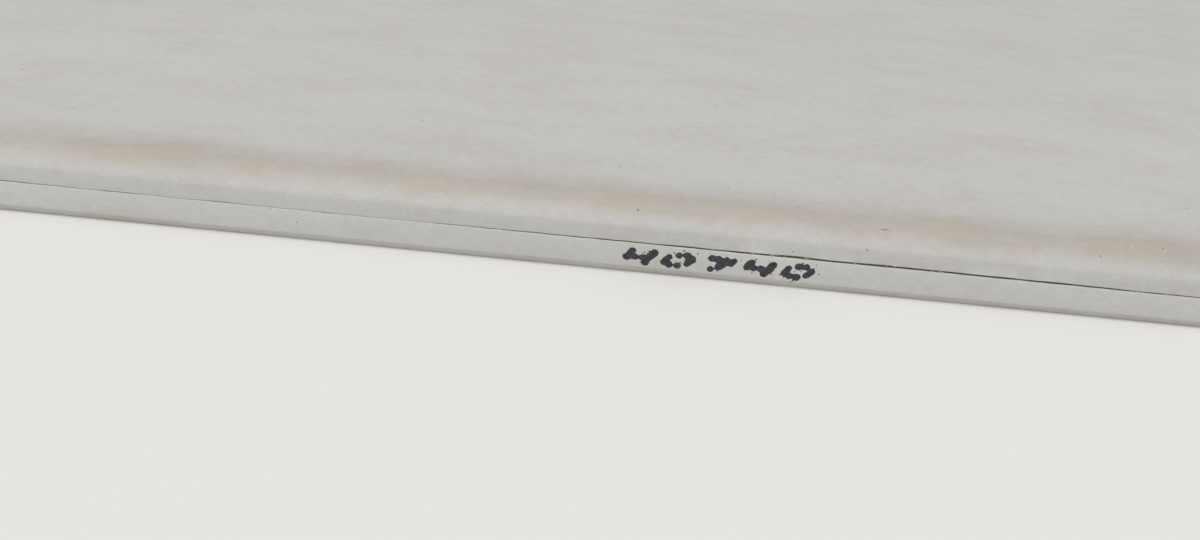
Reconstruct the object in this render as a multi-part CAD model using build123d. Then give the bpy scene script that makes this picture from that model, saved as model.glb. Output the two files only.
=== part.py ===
from build123d import *
import os
from math import cos, radians, sin, sqrt, tan

# Drywall sheet with half-round tapered long edges, lying on its back paper.
# Millimetres. X runs along the sheet, Y across it, Z up out of the face.
# The origin is the middle of the back, so the sheet stands on Z = 0.

# The sheet as it is sold.
length = 2500.0
width = 1200.0  # over the two seams, where it is widest
thickness = 12.5

# The face falls away towards each long edge, to leave room for joint filler.
taper_width = 50.0  # from the seam's plane in to where the fall starts
taper_depth = 3.2  # the fall, if it ran on straight to the seam's plane
taper_blend_radius = 300.0  # the belt leaves a soft start, not a crease

# The long edge, from the taper down: a round nose, a flat cheek and a flat band.
nose_radius = 4.6
cheek_height = 6.6  # above the back, where the nose is scored and the cheek starts
cheek_lean = 5.6  # degrees from upright: the cheek looks up a little
band_lean = 7.0  # degrees from upright: the band looks down a little

# The seam between cheek and band, where the back paper ends over the face paper.
seam_height = 4.5  # above the back
seam_width = 0.3
seam_depth = 0.35  # about one paper thick
cut_clearance = 0.1  # the notch is cut from this far outside the surface

# At the band's foot the paper is scored again and folded in to the back.
foot_height = 1.1
foot_inset = 0.8
foot_score_radius = 0.3
back_score_radius = 0.3


def nose_ends():
    """Where the nose's round starts on the taper, its middle, and where it ends on the cheek."""
    slope = sqrt(taper_width**2 + taper_depth**2)
    down_taper = Vector(taper_width, -taper_depth) / slope
    off_taper = Vector(taper_depth, taper_width) / slope
    taper_start = Vector(width / 2 - taper_width, thickness)

    cheek_inset = (cheek_height - seam_height) * tan(radians(cheek_lean))
    cheek_top = Vector(width / 2 - cheek_inset, cheek_height)

    # The round touches the taper's line and passes through the cheek's top.
    depth = (taper_start - cheek_top).dot(off_taper)
    reach = sqrt(2 * nose_radius * depth - depth**2)
    centre = cheek_top - down_taper * reach - off_taper * (nose_radius - depth)
    to_middle = (off_taper + (cheek_top - centre) / nose_radius).normalized()
    return (
        centre + off_taper * nose_radius,
        centre + to_middle * nose_radius,
        cheek_top,
    )


def half_section():
    """One half of the section, from the middle of the sheet to its long edge."""
    taper_end, nose_middle, cheek_top = nose_ends()
    face = FilletPolyline(
        (0, thickness),
        (width / 2 - taper_width, thickness),
        taper_end,
        radius=taper_blend_radius,
    )
    nose = ThreePointArc(taper_end, nose_middle, cheek_top)
    cheek = Line(cheek_top, (width / 2, seam_height))

    foot_y = width / 2 - (seam_height - foot_height) * tan(radians(band_lean))
    band_and_back = FilletPolyline(
        (width / 2, seam_height),
        (foot_y, foot_height),
        (foot_y - foot_inset, 0),
        (0, 0),
        radius=[foot_score_radius, back_score_radius],
    )
    middle = Line((0, 0), (0, thickness))
    return make_face([face, nose, cheek, band_and_back, middle])


def seam_notch():
    """The small notch of the paper seam: square to the band below, sloping out above."""
    lean = radians(band_lean)
    up = Vector(sin(lean), cos(lean))
    outward = Vector(cos(lean), -sin(lean))
    lip = Vector(width / 2, seam_height)
    corners = [
        lip + outward * cut_clearance,
        lip - outward * seam_depth,
        lip + up * seam_width + outward * cut_clearance,
    ]
    return make_face(Polyline(*corners, close=True))


def drywall_sheet():
    """The whole sheet: both halves of the section, run along the sheet's length."""
    half = half_section() - seam_notch()
    section = half + mirror(half, about=Plane.YZ)
    across = Plane(origin=(-length / 2, 0, 0), x_dir=(0, 1, 0), z_dir=(1, 0, 0))
    return extrude(across * section, amount=length)


os.makedirs("parts", exist_ok=True)
sheet = drywall_sheet()
sheet.label = "drywall_sheet"
export_step(sheet, "parts/drywall_sheet.step")
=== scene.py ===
from math import atan2, cos, degrees, pi, radians, sin, sqrt, tan
from random import Random

import bmesh
import bpy
from mathutils import Matrix, Vector, noise


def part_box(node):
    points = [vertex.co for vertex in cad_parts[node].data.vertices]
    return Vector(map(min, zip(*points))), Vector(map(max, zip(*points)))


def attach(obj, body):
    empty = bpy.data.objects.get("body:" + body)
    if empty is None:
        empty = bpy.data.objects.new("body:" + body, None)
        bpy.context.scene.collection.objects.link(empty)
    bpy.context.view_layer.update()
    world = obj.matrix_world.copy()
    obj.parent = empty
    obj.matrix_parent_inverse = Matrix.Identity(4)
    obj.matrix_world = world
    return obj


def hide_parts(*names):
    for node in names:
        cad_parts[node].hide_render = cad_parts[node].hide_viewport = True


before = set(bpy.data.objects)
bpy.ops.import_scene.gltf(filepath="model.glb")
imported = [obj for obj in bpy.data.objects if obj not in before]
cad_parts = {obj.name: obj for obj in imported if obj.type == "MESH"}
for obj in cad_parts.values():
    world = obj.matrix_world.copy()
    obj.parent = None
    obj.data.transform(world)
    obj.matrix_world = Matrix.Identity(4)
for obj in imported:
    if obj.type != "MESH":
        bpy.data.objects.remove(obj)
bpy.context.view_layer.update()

# The board: gypsum plaster set hard between two papers, drawn out on a belt and sawn to length.
# The ivory face paper wraps the round long edge and runs in behind the grey back paper, which is
# folded up round the foot and ends in a seam along the edge. Both cut ends show the plaster.
MM = 0.001
half_length, half_width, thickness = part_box("drywall_sheet")[1]
FACE_PAPER, BACK_PAPER, PLASTER, CUT_PLY, SEAM_SHADE_PLY = range(5)

# The section, from the face down the long edge to the back. Leans are degrees from upright.
taper_width = 50 * MM
taper_depth = 3.2 * MM
taper_blend = 300 * MM
nose_radius = 4.6 * MM
nose_steps = 22
nose_score_radius = 1.5 * MM
nose_score_lead = 2  # degrees of the nose that go into its score
cheek_height = 6.6 * MM
cheek_lean = 5.6
shoulder_radius = 0.07 * MM
shoulder_turn = 80  # degrees
seam_height = 4.5 * MM
seam_opening = 0.15 * MM
seam_depth = 0.34 * MM
lip_thickness = 0.2 * MM
lip_round = 0.05 * MM
band_lean = 7
foot_height = 1.1 * MM
foot_inset = 0.8 * MM
foot_score_radius = 0.3 * MM
foot_steps = 3
bend_steps = 4  # in every other small bend
paper_thickness = 0.35 * MM
nearly = 0.001 * MM  # points this near are one point
crease = 40  # degrees: sharper bends than this aren't shaded smooth

# Along the sheet: the stretch of edge that is seen from close by is drawn out in short steps.
close_half = 84 * MM
close_fade = 4 * MM
close_step = 0.7 * MM
far_step = 15 * MM

# The lip and the opening of the seam waver, each by a size and over a wave's length.
lip_waver = 0.02 * MM
lip_wave = 14 * MM
lip_fray = 0.04 * MM
lip_fray_wave = 1.7 * MM
opening_swing = 0.14 * MM
opening_swing_wave = 146 * MM
opening_widest_at = 34 * MM
opening_waver = 0.05 * MM
opening_wave = 22 * MM
opening_fray = 0.09 * MM
opening_fray_wave = 5 * MM
least_opening = 0.03 * MM

# The nose is pressed in a little, from the edge in to its reach.
nose_waver = 0.035 * MM
nose_wave = 60 * MM
nose_fine_wave = 9 * MM
nose_fine_share = 0.4
nose_row = 5 * MM  # as far up, the waver is another one
nose_reach = 14 * MM
nose_fade = 4 * MM

# The sawn ends: the plaster is meshed in small fields, and its lumps and grains are left rough.
end_field = 6 * MM
end_field_height = 1.5 * MM
end_roughness = 0.4 * MM
end_lump = 4 * MM
end_grain = 1.5 * MM


def run(bm, end, y, z):
    """Carries the outline straight on to a point."""
    new = bmesh.ops.extrude_vert_indiv(bm, verts=[end])["verts"][0]
    new.co = Vector((end.co.x, y, z))
    return new


def turn(bm, end, y, z, angle, steps):
    """Carries the outline round a centre, out and down where the turn is positive."""
    centre = (end.co.x, y, z)
    spun = bmesh.ops.spin(
        bm, geom=[end], cent=centre, axis=(1, 0, 0), angle=radians(angle), steps=steps
    )
    return spun["geom_last"][0]


def nose_round(inset):
    """The nose's centre, its start on the taper, and how far it turns, in degrees."""
    slope = sqrt(taper_width**2 + taper_depth**2)
    down_taper = Vector((-taper_width, -taper_depth)) / slope
    off_taper = Vector((-taper_depth, taper_width)) / slope
    taper_start = Vector((taper_width - half_width, thickness))
    cheek_inset = (cheek_height - seam_height) * tan(radians(cheek_lean))
    cheek_top = Vector((cheek_inset - half_width, cheek_height))
    depth = (taper_start - cheek_top).dot(off_taper)
    reach = sqrt(2 * nose_radius * depth - depth**2)
    centre = cheek_top - down_taper * reach - off_taper * (nose_radius - depth)
    start = centre + off_taper * (nose_radius - inset)
    to_cheek = cheek_top - centre
    swept = atan2(off_taper.y, off_taper.x) - atan2(to_cheek.y, to_cheek.x)
    return centre, start, degrees(abs((swept + pi) % (2 * pi) - pi))


def half_outline(bm, inset, with_seam):
    """Half the section, from the middle of the face to the middle of the back."""
    fall = degrees(atan2(taper_depth, taper_width))
    blend_y = taper_width - half_width + taper_blend * tan(radians(fall) / 2)
    end = bm.verts.new((0, 0, thickness - inset))
    end = run(bm, end, blend_y, thickness - inset)
    end = turn(bm, end, blend_y, thickness - taper_blend, fall, bend_steps)

    # The nose, and the small score where it meets the cheek.
    centre, start, swept = nose_round(inset)
    score_turn = 90 - cheek_lean - fall - swept + nose_score_lead
    end = run(bm, end, start.x, start.y)
    end = turn(bm, end, centre.x, centre.y, swept - nose_score_lead, nose_steps)
    into = (centre - Vector(end.co.yz)).normalized() * (nose_score_radius - inset)
    score = Vector(end.co.yz) + into
    end = turn(bm, end, score.x, score.y, score_turn, bend_steps)

    if with_seam:
        # The cheek ends in a shoulder, and the face paper runs in behind the back paper's lip.
        shoulder_z = seam_height + seam_opening + shoulder_radius
        shoulder_y = tan(radians(cheek_lean)) * (shoulder_z - seam_height) - half_width
        end = run(bm, end, shoulder_y, shoulder_z)
        shoulder_y += shoulder_radius
        end = turn(bm, end, shoulder_y, shoulder_z, shoulder_turn, bend_steps)
        end = run(bm, end, seam_depth - half_width, seam_height + seam_opening / 2)
        end = run(bm, end, seam_depth - half_width, seam_height - seam_opening)
        end = run(bm, end, lip_thickness - half_width, seam_height)
        end = run(bm, end, lip_round - half_width, seam_height)
        lip_z = seam_height - lip_round
        end = turn(bm, end, lip_round - half_width, lip_z, 90 + band_lean, bend_steps)
    else:
        end = run(bm, end, inset - half_width, seam_height)

    # The band, the scored foot and the back.
    lean = radians(band_lean)
    foot_y = (seam_height - foot_height) * tan(lean) - half_width
    facet = degrees(atan2(foot_height, foot_inset))
    foot_turn = 90 - band_lean - facet
    corner = foot_score_radius * tan(radians(foot_turn) / 2)
    top = Vector((foot_y, foot_height)) - Vector((sin(lean), -cos(lean))) * corner
    inward = Vector((cos(lean), sin(lean)))
    middle = top + inward * foot_score_radius
    first = top + inward * inset
    end = run(bm, end, first.x, first.y)
    end = turn(bm, end, middle.x, middle.y, foot_turn, foot_steps)
    end = run(bm, end, foot_y + foot_inset + inset * tan(radians(facet) / 2), inset)
    run(bm, end, 0, inset)


def section_loop(bm, inset, with_seam):
    """The whole section's closed outline, in the plane of x = 0."""
    before = set(bm.verts)
    half_outline(bm, inset, with_seam)
    verts = [v for v in bm.verts if v not in before]
    edges = list({e for v in verts for e in v.link_edges})
    bmesh.ops.mirror(bm, geom=verts + edges, merge_dist=nearly, axis="Y")
    verts = [v for v in bm.verts if v not in before]
    return list({e for v in verts for e in v.link_edges})


def draw_out(bm, loop, step, steps):
    """Draws an outline along the sheet, as the belt does."""
    verts = list({v for e in loop for v in e.verts})
    drawn = bmesh.ops.spin(
        bm, geom=verts + loop, axis=(1, 0, 0), dvec=(step, 0, 0), angle=0, steps=steps
    )
    return [g for g in drawn["geom_last"] if isinstance(g, bmesh.types.BMEdge)]


def cut_end():
    """A sawn end as a mesh: a rim of paper, and inside it the plaster in small fields."""
    bm = bmesh.new()
    outer = section_loop(bm, 0, True)
    inner = section_loop(bm, paper_thickness, False)
    bmesh.ops.triangle_fill(bm, edges=outer + inner, use_beauty=True)
    for f in bm.faces:
        f.material_index = CUT_PLY
    plaster = bmesh.ops.contextual_create(bm, geom=inner)["faces"][0]
    plaster.material_index = PLASTER
    columns = int(2 * half_width / end_field)
    rows = int(thickness / end_field_height)
    cuts = [((0, i * end_field - half_width, 0), (0, 1, 0)) for i in range(1, columns)]
    cuts += [((0, 0, i * end_field_height), (0, 0, 1)) for i in range(1, rows)]
    for point, facing in cuts:
        fields = [f for f in bm.faces if f.material_index == PLASTER]
        geom = list({g for f in fields for g in [f, *f.edges, *f.verts]})
        bmesh.ops.bisect_plane(bm, geom=geom, plane_co=point, plane_no=facing, dist=nearly)
    mesh = bpy.data.meshes.new("cut_end")
    bm.to_mesh(mesh)
    bm.free()
    return mesh


def waver(x, wave, row):
    """A fixed smooth waver along the sheet, from -1 to 1, with its bends about a wave apart."""
    return noise.noise(Vector((x / wave, row, 0.5)))


def is_close(x):
    """1 on the stretch that is seen from close by, and 0 beyond it."""
    return min(1, max(0, (close_half - abs(x)) / close_fade))


def lay_the_seam(bm):
    """Lets the lap of the two papers waver, open and close, differently along each long edge."""
    for v in bm.verts:
        x, z = v.co.x, v.co.z
        is_inside = abs(v.co.y) < half_width - seam_depth - nearly
        if is_inside or abs(abs(x) - half_length) < nearly:
            continue
        row = 3 if v.co.y < 0 else 7
        lip = lip_waver * waver(x, lip_wave, row)
        lip += lip_fray * waver(x, lip_fray_wave, row) * is_close(x)
        opening = opening_swing * cos((x - opening_widest_at) * 2 * pi / opening_swing_wave)
        opening += opening_waver * waver(x, opening_wave, row + 1)
        opening += opening_fray * waver(x, opening_fray_wave, row + 2) * is_close(x)
        if seam_height - 2 * lip_round < z < seam_height + nearly:
            v.co.z += lip
        elif seam_height < z < seam_height + seam_opening + shoulder_radius + nearly:
            share = min(1, (z - seam_height) / seam_opening)
            v.co.z += share * max(opening, lip + least_opening - seam_opening)


def ease_the_nose(bm):
    """The wrapped paper isn't dead straight: the nose is pressed in a little here and there."""
    bm.normal_update()
    for v in bm.verts:
        depth = half_width - abs(v.co.y)
        is_end = abs(abs(v.co.x) - half_length) < nearly
        if is_end or depth > nose_reach or v.co.z < seam_height + 2 * seam_opening:
            continue
        row = v.co.z / nose_row + (0 if v.co.y < 0 else 40)
        pressed = 0.5 + 0.5 * waver(v.co.x, nose_wave, row)
        fine = waver(v.co.x, nose_fine_wave, row + 20) * is_close(v.co.x)
        pressed = max(0, pressed + nose_fine_share * fine)
        v.co -= v.normal * pressed * nose_waver * min(1, (nose_reach - depth) / nose_fade)


def crumble(bm):
    """The saw leaves the plaster a little rough, and never proud of the paper."""
    for v in bm.verts:
        if all(f.material_index == PLASTER for f in v.link_faces):
            lumps = noise.noise(v.co / end_lump) + 0.5 * noise.noise(v.co / end_grain)
            sunk = (0.5 + 0.5 * max(-1, min(1, lumps))) * end_roughness
            v.co.x -= sunk if v.co.x > 0 else -sunk


bm = bmesh.new()
loop = section_loop(bm, 0, True)
bmesh.ops.translate(bm, verts=bm.verts, vec=(-half_length, 0, 0))
far_steps = int((half_length - close_half) / far_step)
far_stride = (half_length - close_half) / far_steps
close_steps = int(2 * close_half / close_step)
loop = draw_out(bm, loop, far_stride, far_steps)
loop = draw_out(bm, loop, 2 * close_half / close_steps, close_steps)
loop = draw_out(bm, loop, far_stride, far_steps)

# The many steps add up to a hair less than the sheet, so the last outline is set to its length.
for v in {v for e in loop for v in e.verts}:
    v.co.x = half_length

for f in bm.faces:
    middle = f.calc_center_median()
    # Faces deep in the seam's notch get the dark seam ply: painted shade for the narrow crevice.
    is_deep = half_width - abs(middle.y) > 2 * shoulder_radius
    if is_deep and abs(middle.z - seam_height) < seam_depth:
        f.material_index = SEAM_SHADE_PLY
    else:
        f.material_index = FACE_PAPER if middle.z > seam_height + nearly else BACK_PAPER

sawn = cut_end()
for x in (-half_length, half_length):
    before = set(bm.verts)
    bm.from_mesh(sawn)
    bmesh.ops.translate(bm, verts=[v for v in bm.verts if v not in before], vec=(x, 0, 0))
bpy.data.meshes.remove(sawn)
bmesh.ops.remove_doubles(bm, verts=bm.verts, dist=nearly)
bmesh.ops.recalc_face_normals(bm, faces=bm.faces)
lay_the_seam(bm)
ease_the_nose(bm)
crumble(bm)
for f in bm.faces:
    f.smooth = True

board_mesh = bpy.data.meshes.new("board")
bm.to_mesh(board_mesh)
bm.free()
board_mesh.set_sharp_from_angle(angle=radians(crease))
board = bpy.data.objects.new("board", board_mesh)
bpy.context.scene.collection.objects.link(board)


def linear(colour):
    """An sRGB hex colour as the linear one that a shader takes."""
    parts = [int(colour[i : i + 2], 16) / 255 for i in (1, 3, 5)]
    return (*(c / 12.92 if c <= 0.04045 else ((c + 0.055) / 1.055) ** 2.4 for c in parts), 1)


def add(tree, kind, inputs, **settings):
    """Adds a node with its settings, and its inputs as values or links."""
    made = tree.nodes.new(kind)
    for name, value in settings.items():
        setattr(made, name, value)
    for name, value in inputs.items():
        if isinstance(value, bpy.types.NodeSocket):
            tree.links.new(value, made.inputs[name])
        else:
            made.inputs[name].default_value = value
    return made


def empty_material(name):
    """A material with nothing in its tree yet."""
    material = bpy.data.materials.new(name)
    material.use_nodes = True
    material.node_tree.nodes.clear()
    return material, material.node_tree


def paper_material(
    name, colour, darker_colour, darker_heights, darker_share, shaded_heights, fleck_colour, fleck_share
):
    """Board paper of several plies, made from recycled fibre and left uncoated.

    It is matt and a little cloudy, with fibres that lie along the sheet and a few dark flecks.
    It is painted darker and warmer between some heights, in patches, and has painted shade at others.
    """
    material, tree = empty_material(name)
    place = add(tree, "ShaderNodeTexCoord", {}).outputs["Object"]
    drawn = add(tree, "ShaderNodeMapping", {"Vector": place, "Scale": (0.5, 1, 1)}).outputs[0]
    pulled = add(tree, "ShaderNodeMapping", {"Vector": place, "Scale": (0.02, 1, 1)}).outputs[0]
    patterns = []
    for vector, size in (
        (drawn, 0.35 * MM),  # fibres, in clumps, because single ones are too fine to show
        (place, 1.6 * MM),  # mottling
        (drawn, 3 * MM),  # clouds of pulp
        (drawn, 8 * MM),  # patches in the darker tone
        (drawn, 90 * MM),  # broad clouds
        (pulled, 0.9 * MM),  # streaks from the paper machine
        (pulled, 35 * MM),  # bands from the paper machine
    ):
        pattern = {"Vector": vector, "Scale": 1 / size, "Detail": 3}
        patterns.append(add(tree, "ShaderNodeTexNoise", pattern).outputs[0])
    fibre, mottle, cloud, patch, broad, streak, band = patterns

    # The darker colour comes in over one height and goes out over another, and is warm in spots. On
    # the nose it is warm painted shade.
    darker_starts, darker_full, darker_fades, darker_ends = darker_heights
    height = add(tree, "ShaderNodeSeparateXYZ", {"Vector": place}).outputs["Z"]
    ramp = {"Value": height, "From Min": darker_starts, "From Max": darker_full, "To Max": 0.5}
    above = add(tree, "ShaderNodeMapRange", ramp, interpolation_type="SMOOTHSTEP").outputs[0]
    ramp = {"Value": height, "From Min": darker_ends, "From Max": darker_fades, "To Max": 0.5}
    below = add(tree, "ShaderNodeMapRange", ramp, interpolation_type="SMOOTHSTEP").outputs[0]
    tone_mix = add(tree, "ShaderNodeMath", {0: above, 1: below}, operation="ADD").outputs[0]
    ramp = {"Value": tone_mix, "From Min": 0.5, "To Max": darker_share}
    tone_mix = add(tree, "ShaderNodeMapRange", ramp).outputs[0]
    ramp = {"Value": patch, "From Min": 0.3, "From Max": 0.7, "To Min": 0.72, "To Max": 1.08}
    patchy = add(tree, "ShaderNodeMapRange", ramp).outputs[0]
    tone_mix = add(tree, "ShaderNodeMath", {0: tone_mix, 1: patchy}, operation="MULTIPLY").outputs[0]
    spots = add(tree, "ShaderNodeMath", {0: mottle, 1: cloud}, operation="ADD").outputs[0]
    spots = add(tree, "ShaderNodeMath", {0: spots, 1: patch}, operation="ADD").outputs[0]
    ramp = {"Value": spots, "From Min": 1.35, "From Max": 1.95, "To Max": 0.55}
    warm = add(tree, "ShaderNodeMapRange", ramp).outputs[0]
    tone_mix = add(tree, "ShaderNodeMath", {0: tone_mix, 1: warm}, operation="ADD").outputs[0]
    colours = {0: tone_mix, 6: linear(colour), 7: linear(darker_colour)}
    tint = add(tree, "ShaderNodeMix", colours, data_type="RGBA").outputs[2]

    # Painted shade: below one height the colour keeps only a share of its light.
    for kept, shaded_below, lit_above in shaded_heights:
        ramp = {"Value": height, "From Min": shaded_below, "From Max": lit_above, "To Min": kept}
        shade = add(tree, "ShaderNodeMapRange", ramp, interpolation_type="SMOOTHSTEP").outputs[0]
        shaded = {0: tint, "Scale": shade}
        tint = add(tree, "ShaderNodeVectorMath", shaded, operation="SCALE").outputs[0]
    for source, amount in (
        (fibre, 0.05),
        (mottle, 0.015),
        (cloud, 0.035),
        (broad, 0.015),
        (streak, 0.008),
        (band, 0.012),
    ):
        ramp = {"Value": source, "From Min": 0.25, "From Max": 0.75}
        ramp |= {"To Min": 1 - amount, "To Max": 1 + amount}
        shade = add(tree, "ShaderNodeMapRange", ramp).outputs[0]
        shaded = {0: tint, "Scale": shade}
        tint = add(tree, "ShaderNodeVectorMath", shaded, operation="SCALE").outputs[0]

    # Flecks of ink and bark from the recycled pulp: only some of the cells hold one.
    cells = add(tree, "ShaderNodeTexVoronoi", {"Vector": drawn, "Scale": 1 / (1.4 * MM)})
    near = {0: cells.outputs["Distance"], 1: 0.07}
    near = add(tree, "ShaderNodeMath", near, operation="LESS_THAN").outputs[0]
    lot = add(tree, "ShaderNodeSeparateColor", {"Color": cells.outputs["Color"]}).outputs[0]
    lot = add(tree, "ShaderNodeMath", {0: lot, 1: fleck_share}, operation="LESS_THAN").outputs[0]
    fleck = add(tree, "ShaderNodeMath", {0: near, 1: lot}, operation="MULTIPLY").outputs[0]
    colours = {0: fleck, 6: tint, 7: linear(fleck_colour)}
    tint = add(tree, "ShaderNodeMix", colours, data_type="RGBA").outputs[2]

    relief = add(tree, "ShaderNodeMath", {0: fibre, 1: mottle}, operation="ADD").outputs[0]
    bump = add(tree, "ShaderNodeBump", {"Height": relief, "Distance": 0.02 * MM}).outputs[0]
    ramp = {"Value": cloud, "To Min": 0.5, "To Max": 0.66}
    rough = add(tree, "ShaderNodeMapRange", ramp).outputs[0]
    finish = {"Base Color": tint, "Roughness": rough, "Normal": bump, "IOR": 1.47}
    shader = add(tree, "ShaderNodeBsdfPrincipled", finish).outputs[0]
    add(tree, "ShaderNodeOutputMaterial", {"Surface": shader})
    return material


def crumbly_material(name, pale_colour, pit_colour, grain_size, pit_size, depth):
    """A broken or cut surface with no skin: chalky, quite matt, grainy and full of fine pits."""
    material, tree = empty_material(name)
    place = add(tree, "ShaderNodeTexCoord", {}).outputs["Object"]
    pattern = {"Vector": place, "Scale": 1 / grain_size, "Detail": 4}
    grain = add(tree, "ShaderNodeTexNoise", pattern).outputs[0]
    pattern = {"Vector": place, "Scale": 1 / pit_size}
    pits = add(tree, "ShaderNodeTexVoronoi", pattern).outputs["Distance"]
    ramp = {"Value": pits, "From Min": 0.12, "From Max": 0.3}
    whole = add(tree, "ShaderNodeMapRange", ramp).outputs[0]
    colours = {0: whole, 6: linear(pit_colour), 7: linear(pale_colour)}
    tint = add(tree, "ShaderNodeMix", colours, data_type="RGBA").outputs[2]
    ramp = {"Value": grain, "To Min": 0.9, "To Max": 1.08}
    shade = add(tree, "ShaderNodeMapRange", ramp).outputs[0]
    shaded = {0: tint, "Scale": shade}
    tint = add(tree, "ShaderNodeVectorMath", shaded, operation="SCALE").outputs[0]
    relief = add(tree, "ShaderNodeMath", {0: grain, 1: whole}, operation="ADD").outputs[0]
    bump = add(tree, "ShaderNodeBump", {"Height": relief, "Distance": depth}).outputs[0]
    finish = {"Base Color": tint, "Roughness": 0.9, "Normal": bump, "IOR": 1.5}
    shader = add(tree, "ShaderNodeBsdfPrincipled", finish).outputs[0]
    add(tree, "ShaderNodeOutputMaterial", {"Surface": shader})
    return material


# Heights above the back. The darker tone comes in over two heights and goes out over two; along the
# nose's top it is warm painted shade, and at the foot the back paper is darker and warmer. Painted
# shade keeps a share of the light below one height and is gone above the next: the nose is painted
# darker than the face, the cheek darker still, and the band darker below its lip, which leaves a
# painted highlight on the lip.
nose_painted_shade = (6.8 * MM, 9.1 * MM, 9.3 * MM, 9.9 * MM)
nose_and_cheek_painted_shade = ((0.95, 9.3 * MM, 10.5 * MM), (0.965, 6.2 * MM, 7.3 * MM))
foot_darker_tone = (-1 * MM, 0, 1 * MM, 1.5 * MM)
lip_painted_highlight = ((0.965, 4.1 * MM, 4.4 * MM),)

# The face paper is ivory and the back paper is greyer, with more flecks. The plaster is chalky white
# with fine pores. Cut paper shows its raw brown-grey plies; deep in the seam they are painted darker,
# as painted shade in the narrow crevice.
for material in (
    paper_material("ivory_face_paper", "#c3c2bf", "#b3aca2", nose_painted_shade, 1, nose_and_cheek_painted_shade, "#81776e", 0.06),
    # The back paper is painted darker below the lip, a painted highlight on the lip, and is darker and
    # warmer at the foot.
    paper_material("grey_back_paper", "#c7c7c4", "#b8b3ab", foot_darker_tone, 0.35, lip_painted_highlight, "#6e6962", 0.2),
    crumbly_material("set_gypsum", "#e8e6e1", "#d3d0c9", 0.5 * MM, 0.6 * MM, 0.12 * MM),
    crumbly_material("cut_paper_edge", "#a69c8e", "#8c8276", 0.2 * MM, 0.3 * MM, 0.05 * MM),
    crumbly_material("seam_shade_paper_ply", "#7c7368", "#645c52", 0.2 * MM, 0.3 * MM, 0.05 * MM),
):
    board_mesh.materials.append(material)
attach(board, "root")
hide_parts("drywall_sheet")


# The size mark: five plain digits that a jet printer puts on the band below the seam as the sheet
# runs by. Each digit is a matrix of drops, large for their pitch, so that they run together up the
# band and show apart along it, and the belt's speed makes the columns lean.
DIGITS = {
    "0": (".XX.", "X..X", "X..X", "X..X", ".XX."),
    "4": ("X..X", "X..X", "XXXX", "...X", "...X"),
    "7": ("XXXX", "...X", "..X.", "..X.", ".X.."),
}
mark_digits = "40740"
mark_start = 1.6 * MM
mark_foot = 1.85 * MM  # above the back
mark_clearance = 0.12 * MM  # below the seam
digit_pitch = 4.9 * MM
column_pitch = 0.91 * MM
row_pitch = 0.38 * MM
mark_slant = 0.6  # along for each step up
drop_radius = 0.51 * MM
drop_range = (0.85, 1.1)
drop_scatter_along = 0.07 * MM
drop_scatter_up = 0.05 * MM
most_strays = 4  # round each drop
stray_reach = (0.5 * MM, 1.1 * MM)
stray_radius = (0.05 * MM, 0.12 * MM)
drop_spread = 1.6  # how far a drop wets the paper, in radii
bleed = 0.14
bleed_size = 0.25 * MM
fine_bleed_size = 0.11 * MM
ink_edge = 0.37  # the wetness at a drop's radius
ink_slope = 0.3  # more wetness than the edge's, where the ink is at its thickest
ink_thickness = 0.02 * MM
ink_cell = 0.05 * MM


def jet_drops():
    """Where each drop lands, along and up the band, and its radius, with the stray small ones."""
    chance = Random(4)
    drops = []
    for i, digit in enumerate(mark_digits):
        for row, line in enumerate(reversed(DIGITS[digit])):
            for column, dot in enumerate(line):
                if dot == ".":
                    continue
                along = mark_start + i * digit_pitch + column * column_pitch
                along += mark_slant * row * row_pitch + chance.gauss(0, drop_scatter_along)
                up = mark_foot + row * row_pitch + chance.gauss(0, drop_scatter_up)
                drops.append((along, up, drop_radius * chance.uniform(*drop_range)))
                for stray in range(chance.randrange(most_strays + 1)):
                    off = chance.uniform(*stray_reach)
                    turned = chance.uniform(-pi, pi)
                    radius = chance.uniform(*stray_radius)
                    drops.append((along + off * cos(turned), up + off * sin(turned), radius))
    return drops


def wetness(along, up, drops):
    """How wet the paper is at a point: above ink_edge it is black, and drops that meet merge."""
    total = 0
    for x, z, radius in drops:
        near = ((along - x) ** 2 + (up - z) ** 2) / (drop_spread * radius) ** 2
        if near < 1:
            total += (1 - near) ** 4
    total = sqrt(total)
    spot = Vector((along, up, 0))
    ragged = noise.noise(spot / bleed_size) + 0.5 * noise.noise(spot / fine_bleed_size)
    return total + bleed * ragged * min(1, 3 * total)


# Each drop is filed under the millimetres that it reaches, so that a point looks only at those near.
drops = jet_drops()
reach = drop_spread * drop_range[1] * drop_radius
drops_near = {}
for drop in drops:
    first = int((drop[0] - reach) / MM)
    last = int((drop[0] + reach) / MM)
    for whole in range(first, last + 1):
        drops_near.setdefault(whole, []).append(drop)

bm = bmesh.new()
mark_low = mark_foot - reach
mark_high = seam_height - mark_clearance
mark_end = max(x for x, z, radius in drops) + reach
columns = int(mark_end / ink_cell)
rows = int((mark_high - mark_low) / ink_cell)
bmesh.ops.create_grid(bm, x_segments=columns, y_segments=rows, size=0.5)
outward = Vector((0, -cos(radians(band_lean)), -sin(radians(band_lean))))
wet = {}
for v in bm.verts:
    along = (v.co.x + 0.5) * mark_end
    up = mark_low + (v.co.y + 0.5) * (mark_high - mark_low)
    wet[v] = wetness(along, up, drops_near.get(int(along / MM), []))
    rise = ink_thickness * min(1, max(-1, (wet[v] - ink_edge) / ink_slope))
    on_band = Vector((along, (seam_height - up) * tan(radians(band_lean)) - half_width, up))
    v.co = on_band + outward * rise
    v.co.y = max(v.co.y, -half_width)
dry = [f for f in bm.faces if all(wet[v] < ink_edge / 3 for v in f.verts)]
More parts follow.
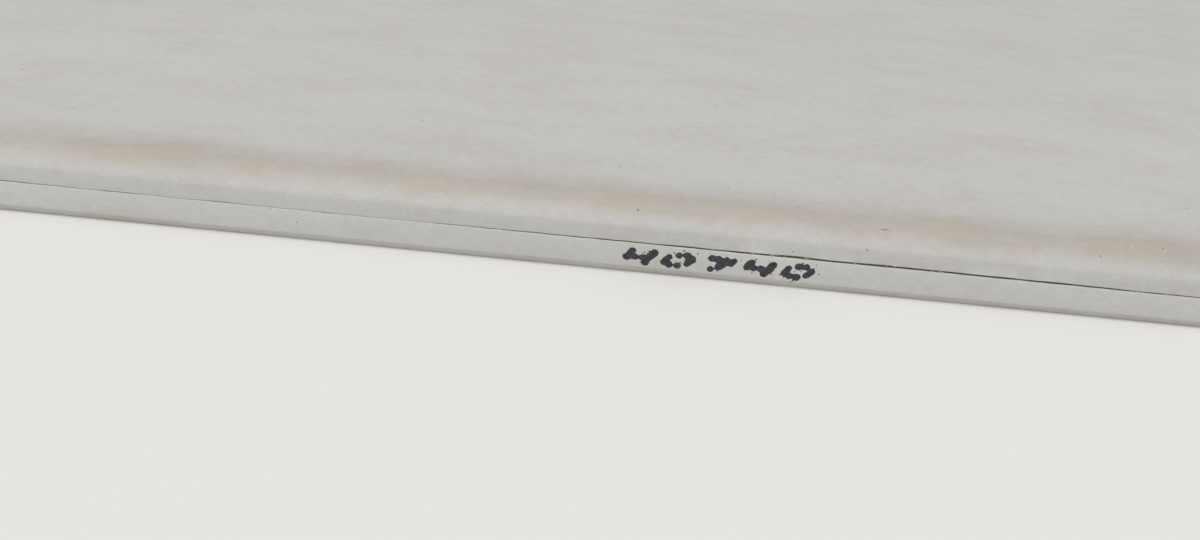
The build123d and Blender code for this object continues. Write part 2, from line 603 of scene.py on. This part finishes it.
while dry:
    bmesh.ops.delete(bm, geom=dry, context="FACES")
    # Where two cells are left that touch only at a corner, both go, or the ink wouldn't be closed.
    corners = [v for v in bm.verts if sum(e.is_boundary for e in v.link_edges) > 2]
    dry = list({f for v in corners for f in v.link_faces})
sunk = bmesh.ops.extrude_face_region(bm, geom=bm.faces[:])["geom"]
sunk = [g for g in sunk if isinstance(g, bmesh.types.BMVert)]
bmesh.ops.translate(bm, verts=sunk, vec=outward * -2 * ink_thickness)
bmesh.ops.recalc_face_normals(bm, faces=bm.faces)
for f in bm.faces:
    f.smooth = True
mark_mesh = bpy.data.meshes.new("size_mark")
bm.to_mesh(mark_mesh)
bm.free()
size_mark = bpy.data.objects.new("size_mark", mark_mesh)
bpy.context.scene.collection.objects.link(size_mark)

# Carbon-black solvent ink, dried matt into the paper: thin places let the paper show through.
ink, tree = empty_material("carbon_black_ink")
place = add(tree, "ShaderNodeTexCoord", {}).outputs["Object"]
pattern = {"Vector": place, "Scale": 1 / (0.45 * MM), "Detail": 4}
soaked = add(tree, "ShaderNodeTexNoise", pattern).outputs[0]
ramp = {"Value": soaked, "From Min": 0.35, "From Max": 0.75}
thin = add(tree, "ShaderNodeMapRange", ramp).outputs[0]
colours = {0: thin, 6: linear("#29292e"), 7: linear("#4a4950")}
tint = add(tree, "ShaderNodeMix", colours, data_type="RGBA").outputs[2]
bump = add(tree, "ShaderNodeBump", {"Height": soaked, "Distance": 0.02 * MM}).outputs[0]
finish = {"Base Color": tint, "Roughness": 0.7, "Normal": bump, "IOR": 1.45}
shader = add(tree, "ShaderNodeBsdfPrincipled", finish).outputs[0]
add(tree, "ShaderNodeOutputMaterial", {"Surface": shader})
mark_mesh.materials.append(ink)
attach(size_mark, "root")


# Loose fibres and dust: where the papers are slit and scored, single fibres and small torn flakes
# stay on the seam's lip and at the foot, and a few grains of dust lie on the nose. They are the
# board paper's own fibre, and grit from the saw.
fibres_far = 160  # along the whole edge
fibres_near = 46  # on the stretch that is seen from close by
sheet_share = 0.99  # none lies right at an end
foot_share = 0.25  # of them, that lie at the foot
above_foot = 0.1 * MM
above_seam = (0, 0.25 * MM)
fibre_turn = (0.1, 0.35)  # from level, in radians: the mean and the spread
fibre_length = (0.4 * MM, 1.3 * MM)
fibre_width = (0.04 * MM, 0.09 * MM)
fibre_tapers = (1.1, 1, 0.9, 0.8, 0.7, 0.4)
fibre_wander = 0.25
fibre_lift = (-0.2, 0.3)  # of its width, at each step
flake_thickness = 0.08 * MM
flake_lump = 0.37  # of its size
flake_ragged = 0.4


def edge_at(z):
    """The front long edge at a height: its place across, and which way it faces."""
    if z < seam_height:
        lean = radians(band_lean)
        y = (seam_height - z) * tan(lean) - half_width
        return y, Vector((0, -cos(lean), -sin(lean)))
    if z < cheek_height:
        lean = radians(cheek_lean)
        y = (z - seam_height) * tan(lean) - half_width
        return y, Vector((0, -cos(lean), sin(lean)))
    centre = nose_round(0)[0]
    rise = min(1, (z - centre.y) / nose_radius)
    facing = Vector((0, -sqrt(1 - rise**2), rise))
    return centre.x + facing.y * nose_radius, facing


def press_in(bm, verts):
    """Presses a bit in where it would stand out past the sheet's widest line."""
    past = max(-half_width - v.co.y for v in verts)
    bmesh.ops.translate(bm, verts=verts, vec=(0, max(0, past), 0))


def lay_fibre(bm, x, z, length, width, turned, chance):
    """One paper fibre: a thin strand that tapers, wanders and lifts a little off the paper."""
    y, facing = edge_at(z)
    across = Vector((1, 0, 0)).cross(facing)
    heading = Vector((cos(turned), 0, 0)) - across * sin(turned)
    ring = bmesh.ops.create_circle(bm, cap_ends=True, segments=4, radius=width / 2)["verts"]
    bmesh.ops.rotate(bm, verts=ring, matrix=Matrix.Rotation(pi / 2, 3, "Y"))
    bmesh.ops.translate(bm, verts=ring, vec=Vector((x, y, z)) + facing * width / 3)
    press_in(bm, ring)
    tip = ring[0].link_faces[0]
    for taper in fibre_tapers:
        tip = bmesh.ops.extrude_discrete_faces(bm, faces=[tip])["faces"][0]
        heading = (heading + across * chance.gauss(0, fibre_wander)).normalized()
        step = heading * length / len(fibre_tapers) + facing * chance.uniform(*fibre_lift) * width
        bmesh.ops.translate(bm, verts=tip.verts, vec=step)
        middle = Matrix.Translation(-tip.calc_center_median())
        bmesh.ops.scale(bm, verts=tip.verts, vec=(taper,) * 3, space=middle)
        press_in(bm, tip.verts[:])


def lay_flakes(bm, flakes):
    """Small torn flakes or grains that lie on the edge, with a ragged outline, in millimetres."""
    for x, z, wide, high, turned in flakes:
        y, facing = edge_at(z * MM)
        across = facing.cross(Vector((1, 0, 0)))
        onto = Matrix((Vector((1, 0, 0)), across, facing)).transposed()
        spun = onto @ Matrix.Rotation(turned, 3, "Z")
        flake = bmesh.ops.create_uvsphere(bm, u_segments=14, v_segments=8, radius=0.5)["verts"]
        for v in flake:
            ragged = 1 + flake_ragged * noise.noise(v.co / flake_lump + Vector((x, z, 0)))
            flat = (v.co.x * wide * MM * ragged, v.co.y * high * MM * ragged, v.co.z * flake_thickness)
            v.co = Vector((x * MM, y, z * MM)) + spun @ Vector(flat)
        press_in(bm, flake)


def finish_bits(name, bm, material):
    """Makes the bits one piece, the same along both long edges."""
    bmesh.ops.holes_fill(bm, edges=bm.edges[:], sides=4)
    whole = bm.verts[:] + bm.edges[:] + bm.faces[:]
    bmesh.ops.mirror(bm, geom=whole, merge_dist=-1, axis="Y")
    bmesh.ops.recalc_face_normals(bm, faces=bm.faces)
    for f in bm.faces:
        f.smooth = True
    mesh = bpy.data.meshes.new(name)
    bm.to_mesh(mesh)
    bm.free()
    mesh.materials.append(material)
    bits = bpy.data.objects.new(name, mesh)
    bpy.context.scene.collection.objects.link(bits)
    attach(bits, "root")


chance = Random(11)
bm = bmesh.new()
starts = [chance.uniform(-half_length, half_length) * sheet_share for i in range(fibres_far)]
starts += [chance.uniform(-close_half, close_half) for i in range(fibres_near)]
for x in starts:
    if chance.random() < foot_share:
        z = foot_height + above_foot
    else:
        z = seam_height + chance.uniform(*above_seam)
    length = chance.uniform(*fibre_length)
    width = chance.uniform(*fibre_width)
    lay_fibre(bm, x, z, length, width, chance.gauss(*fibre_turn), chance)

# Each flake or grain has its place along and up the edge, its width and height, in millimetres, and
# its turn in radians.
torn_flakes = (
    (32.6, 1.35, 0.75, 0.4, 0.3),
    (-17.4, 9.2, 0.3, 0.14, 0.2),
    (62.8, 9.3, 0.35, 0.16, 2.8),
    (-52, 4.2, 0.3, 0.2, 0.9),
)
lay_flakes(bm, torn_flakes)

# Torn paper is pale and raw: its fibres lie open, with no pressed skin.
torn_fibre = crumbly_material(
    "torn_paper_fibre", "#ccc9c3", "#bab6ac", 0.15 * MM, 0.2 * MM, 0.02 * MM
)
finish_bits("loose_fibres", bm, torn_fibre)

bm = bmesh.new()
brown_grains = (
    (2.8, 8.35, 0.26, 0.18, 0.4),
    (32.7, 8.7, 0.9, 0.11, 0.08),
    (30.7, 6.55, 0.2, 0.17, 0),
    (22.0, 5.4, 0.3, 0.15, 0.3),
    (58.7, 8.25, 0.18, 0.16, 0),
    (66.6, 9.3, 0.2, 0.15, 0.7),
)
lay_flakes(bm, brown_grains)

# The dust is dry brown grit, darker than the paper, with no shine.
brown_dust = crumbly_material("brown_dust", "#867d72", "#6f665b", 0.1 * MM, 0.15 * MM, 0.02 * MM)
finish_bits("dust_grains", bm, brown_dust)


# The floor: level concrete under pale matt paint, which shows no gloss, out to the horizon. The
# sheet lies flat on it, on its back paper.
floor_half = 40
floor_colour = "#e6e5e2"
bm = bmesh.new()
bmesh.ops.create_grid(bm, x_segments=1, y_segments=1, size=floor_half)
floor_mesh = bpy.data.meshes.new("floor")
bm.to_mesh(floor_mesh)
bm.free()
floor = bpy.data.objects.new("floor", floor_mesh)
bpy.context.scene.collection.objects.link(floor)
floor_paint, tree = empty_material("matt_floor_paint")
finish = {"Base Color": linear(floor_colour), "Roughness": 1, "Specular IOR Level": 0}
shader = add(tree, "ShaderNodeBsdfPrincipled", finish).outputs[0]
add(tree, "ShaderNodeOutputMaterial", {"Surface": shader})
floor_mesh.materials.append(floor_paint)


# The light: one broad soft lamp in front of the long edge, and an even room round it. Both light
# the whole sheet evenly, from far off, and together they show a colour as it is written. Where the
# floor ends, the room is seen in the floor's own colour.
lamp_share = 0.537
room_strength = 0.537
lamp_toward = Vector((0.25, 0.8, -1.4))
lamp = bpy.data.lights.new("soft_lamp", "SUN")
lamp.energy = pi * lamp_share
lamp.angle = radians(45)
soft_lamp = bpy.data.objects.new("soft_lamp", lamp)
soft_lamp.rotation_mode = "QUATERNION"
soft_lamp.rotation_quaternion = lamp_toward.to_track_quat("-Z", "Y")
bpy.context.scene.collection.objects.link(soft_lamp)

world = bpy.data.worlds.new("studio")
world.use_nodes = True
bpy.context.scene.world = world
tree = world.node_tree
tree.nodes.clear()
even_light = {"Color": (1, 1, 1, 1), "Strength": room_strength}
lit = add(tree, "ShaderNodeBackground", even_light).outputs[0]
seen_colour = {"Color": linear(floor_colour), "Strength": 1}
seen = add(tree, "ShaderNodeBackground", seen_colour).outputs[0]
by_eye = add(tree, "ShaderNodeLightPath", {}).outputs["Is Camera Ray"]
mixed = add(tree, "ShaderNodeMixShader", {0: by_eye, 1: lit, 2: seen}).outputs[0]
add(tree, "ShaderNodeOutputWorld", {"Surface": mixed})


# The camera: it stands in front of the long edge, close to it, and looks down on it, with a wide
# lens and a little roll.
camera_out = 95.6 * MM  # from the long edge
camera_height = 50.9 * MM
look_down = 27.86
look_left = 0.66
roll = 5.31
sensor = 36
frame_pixels = 1200
lens_pixels = 873  # the focal length, on a frame that wide
camera_data = bpy.data.cameras.new("camera")
camera_data.sensor_width = sensor
camera_data.lens = sensor * lens_pixels / frame_pixels
camera_data.clip_start = 5 * MM
camera_data.clip_end = 100
camera = bpy.data.objects.new("camera", camera_data)
bpy.context.scene.collection.objects.link(camera)
place = Matrix.Translation((0, -half_width - camera_out, camera_height))
aim = Matrix.Rotation(radians(look_left), 4, "Z") @ Matrix.Rotation(radians(90 - look_down), 4, "X")
camera.matrix_world = place @ aim @ Matrix.Rotation(radians(roll), 4, "Z")
bpy.context.scene.camera = camera
bpy.context.scene.view_settings.view_transform = "Standard"
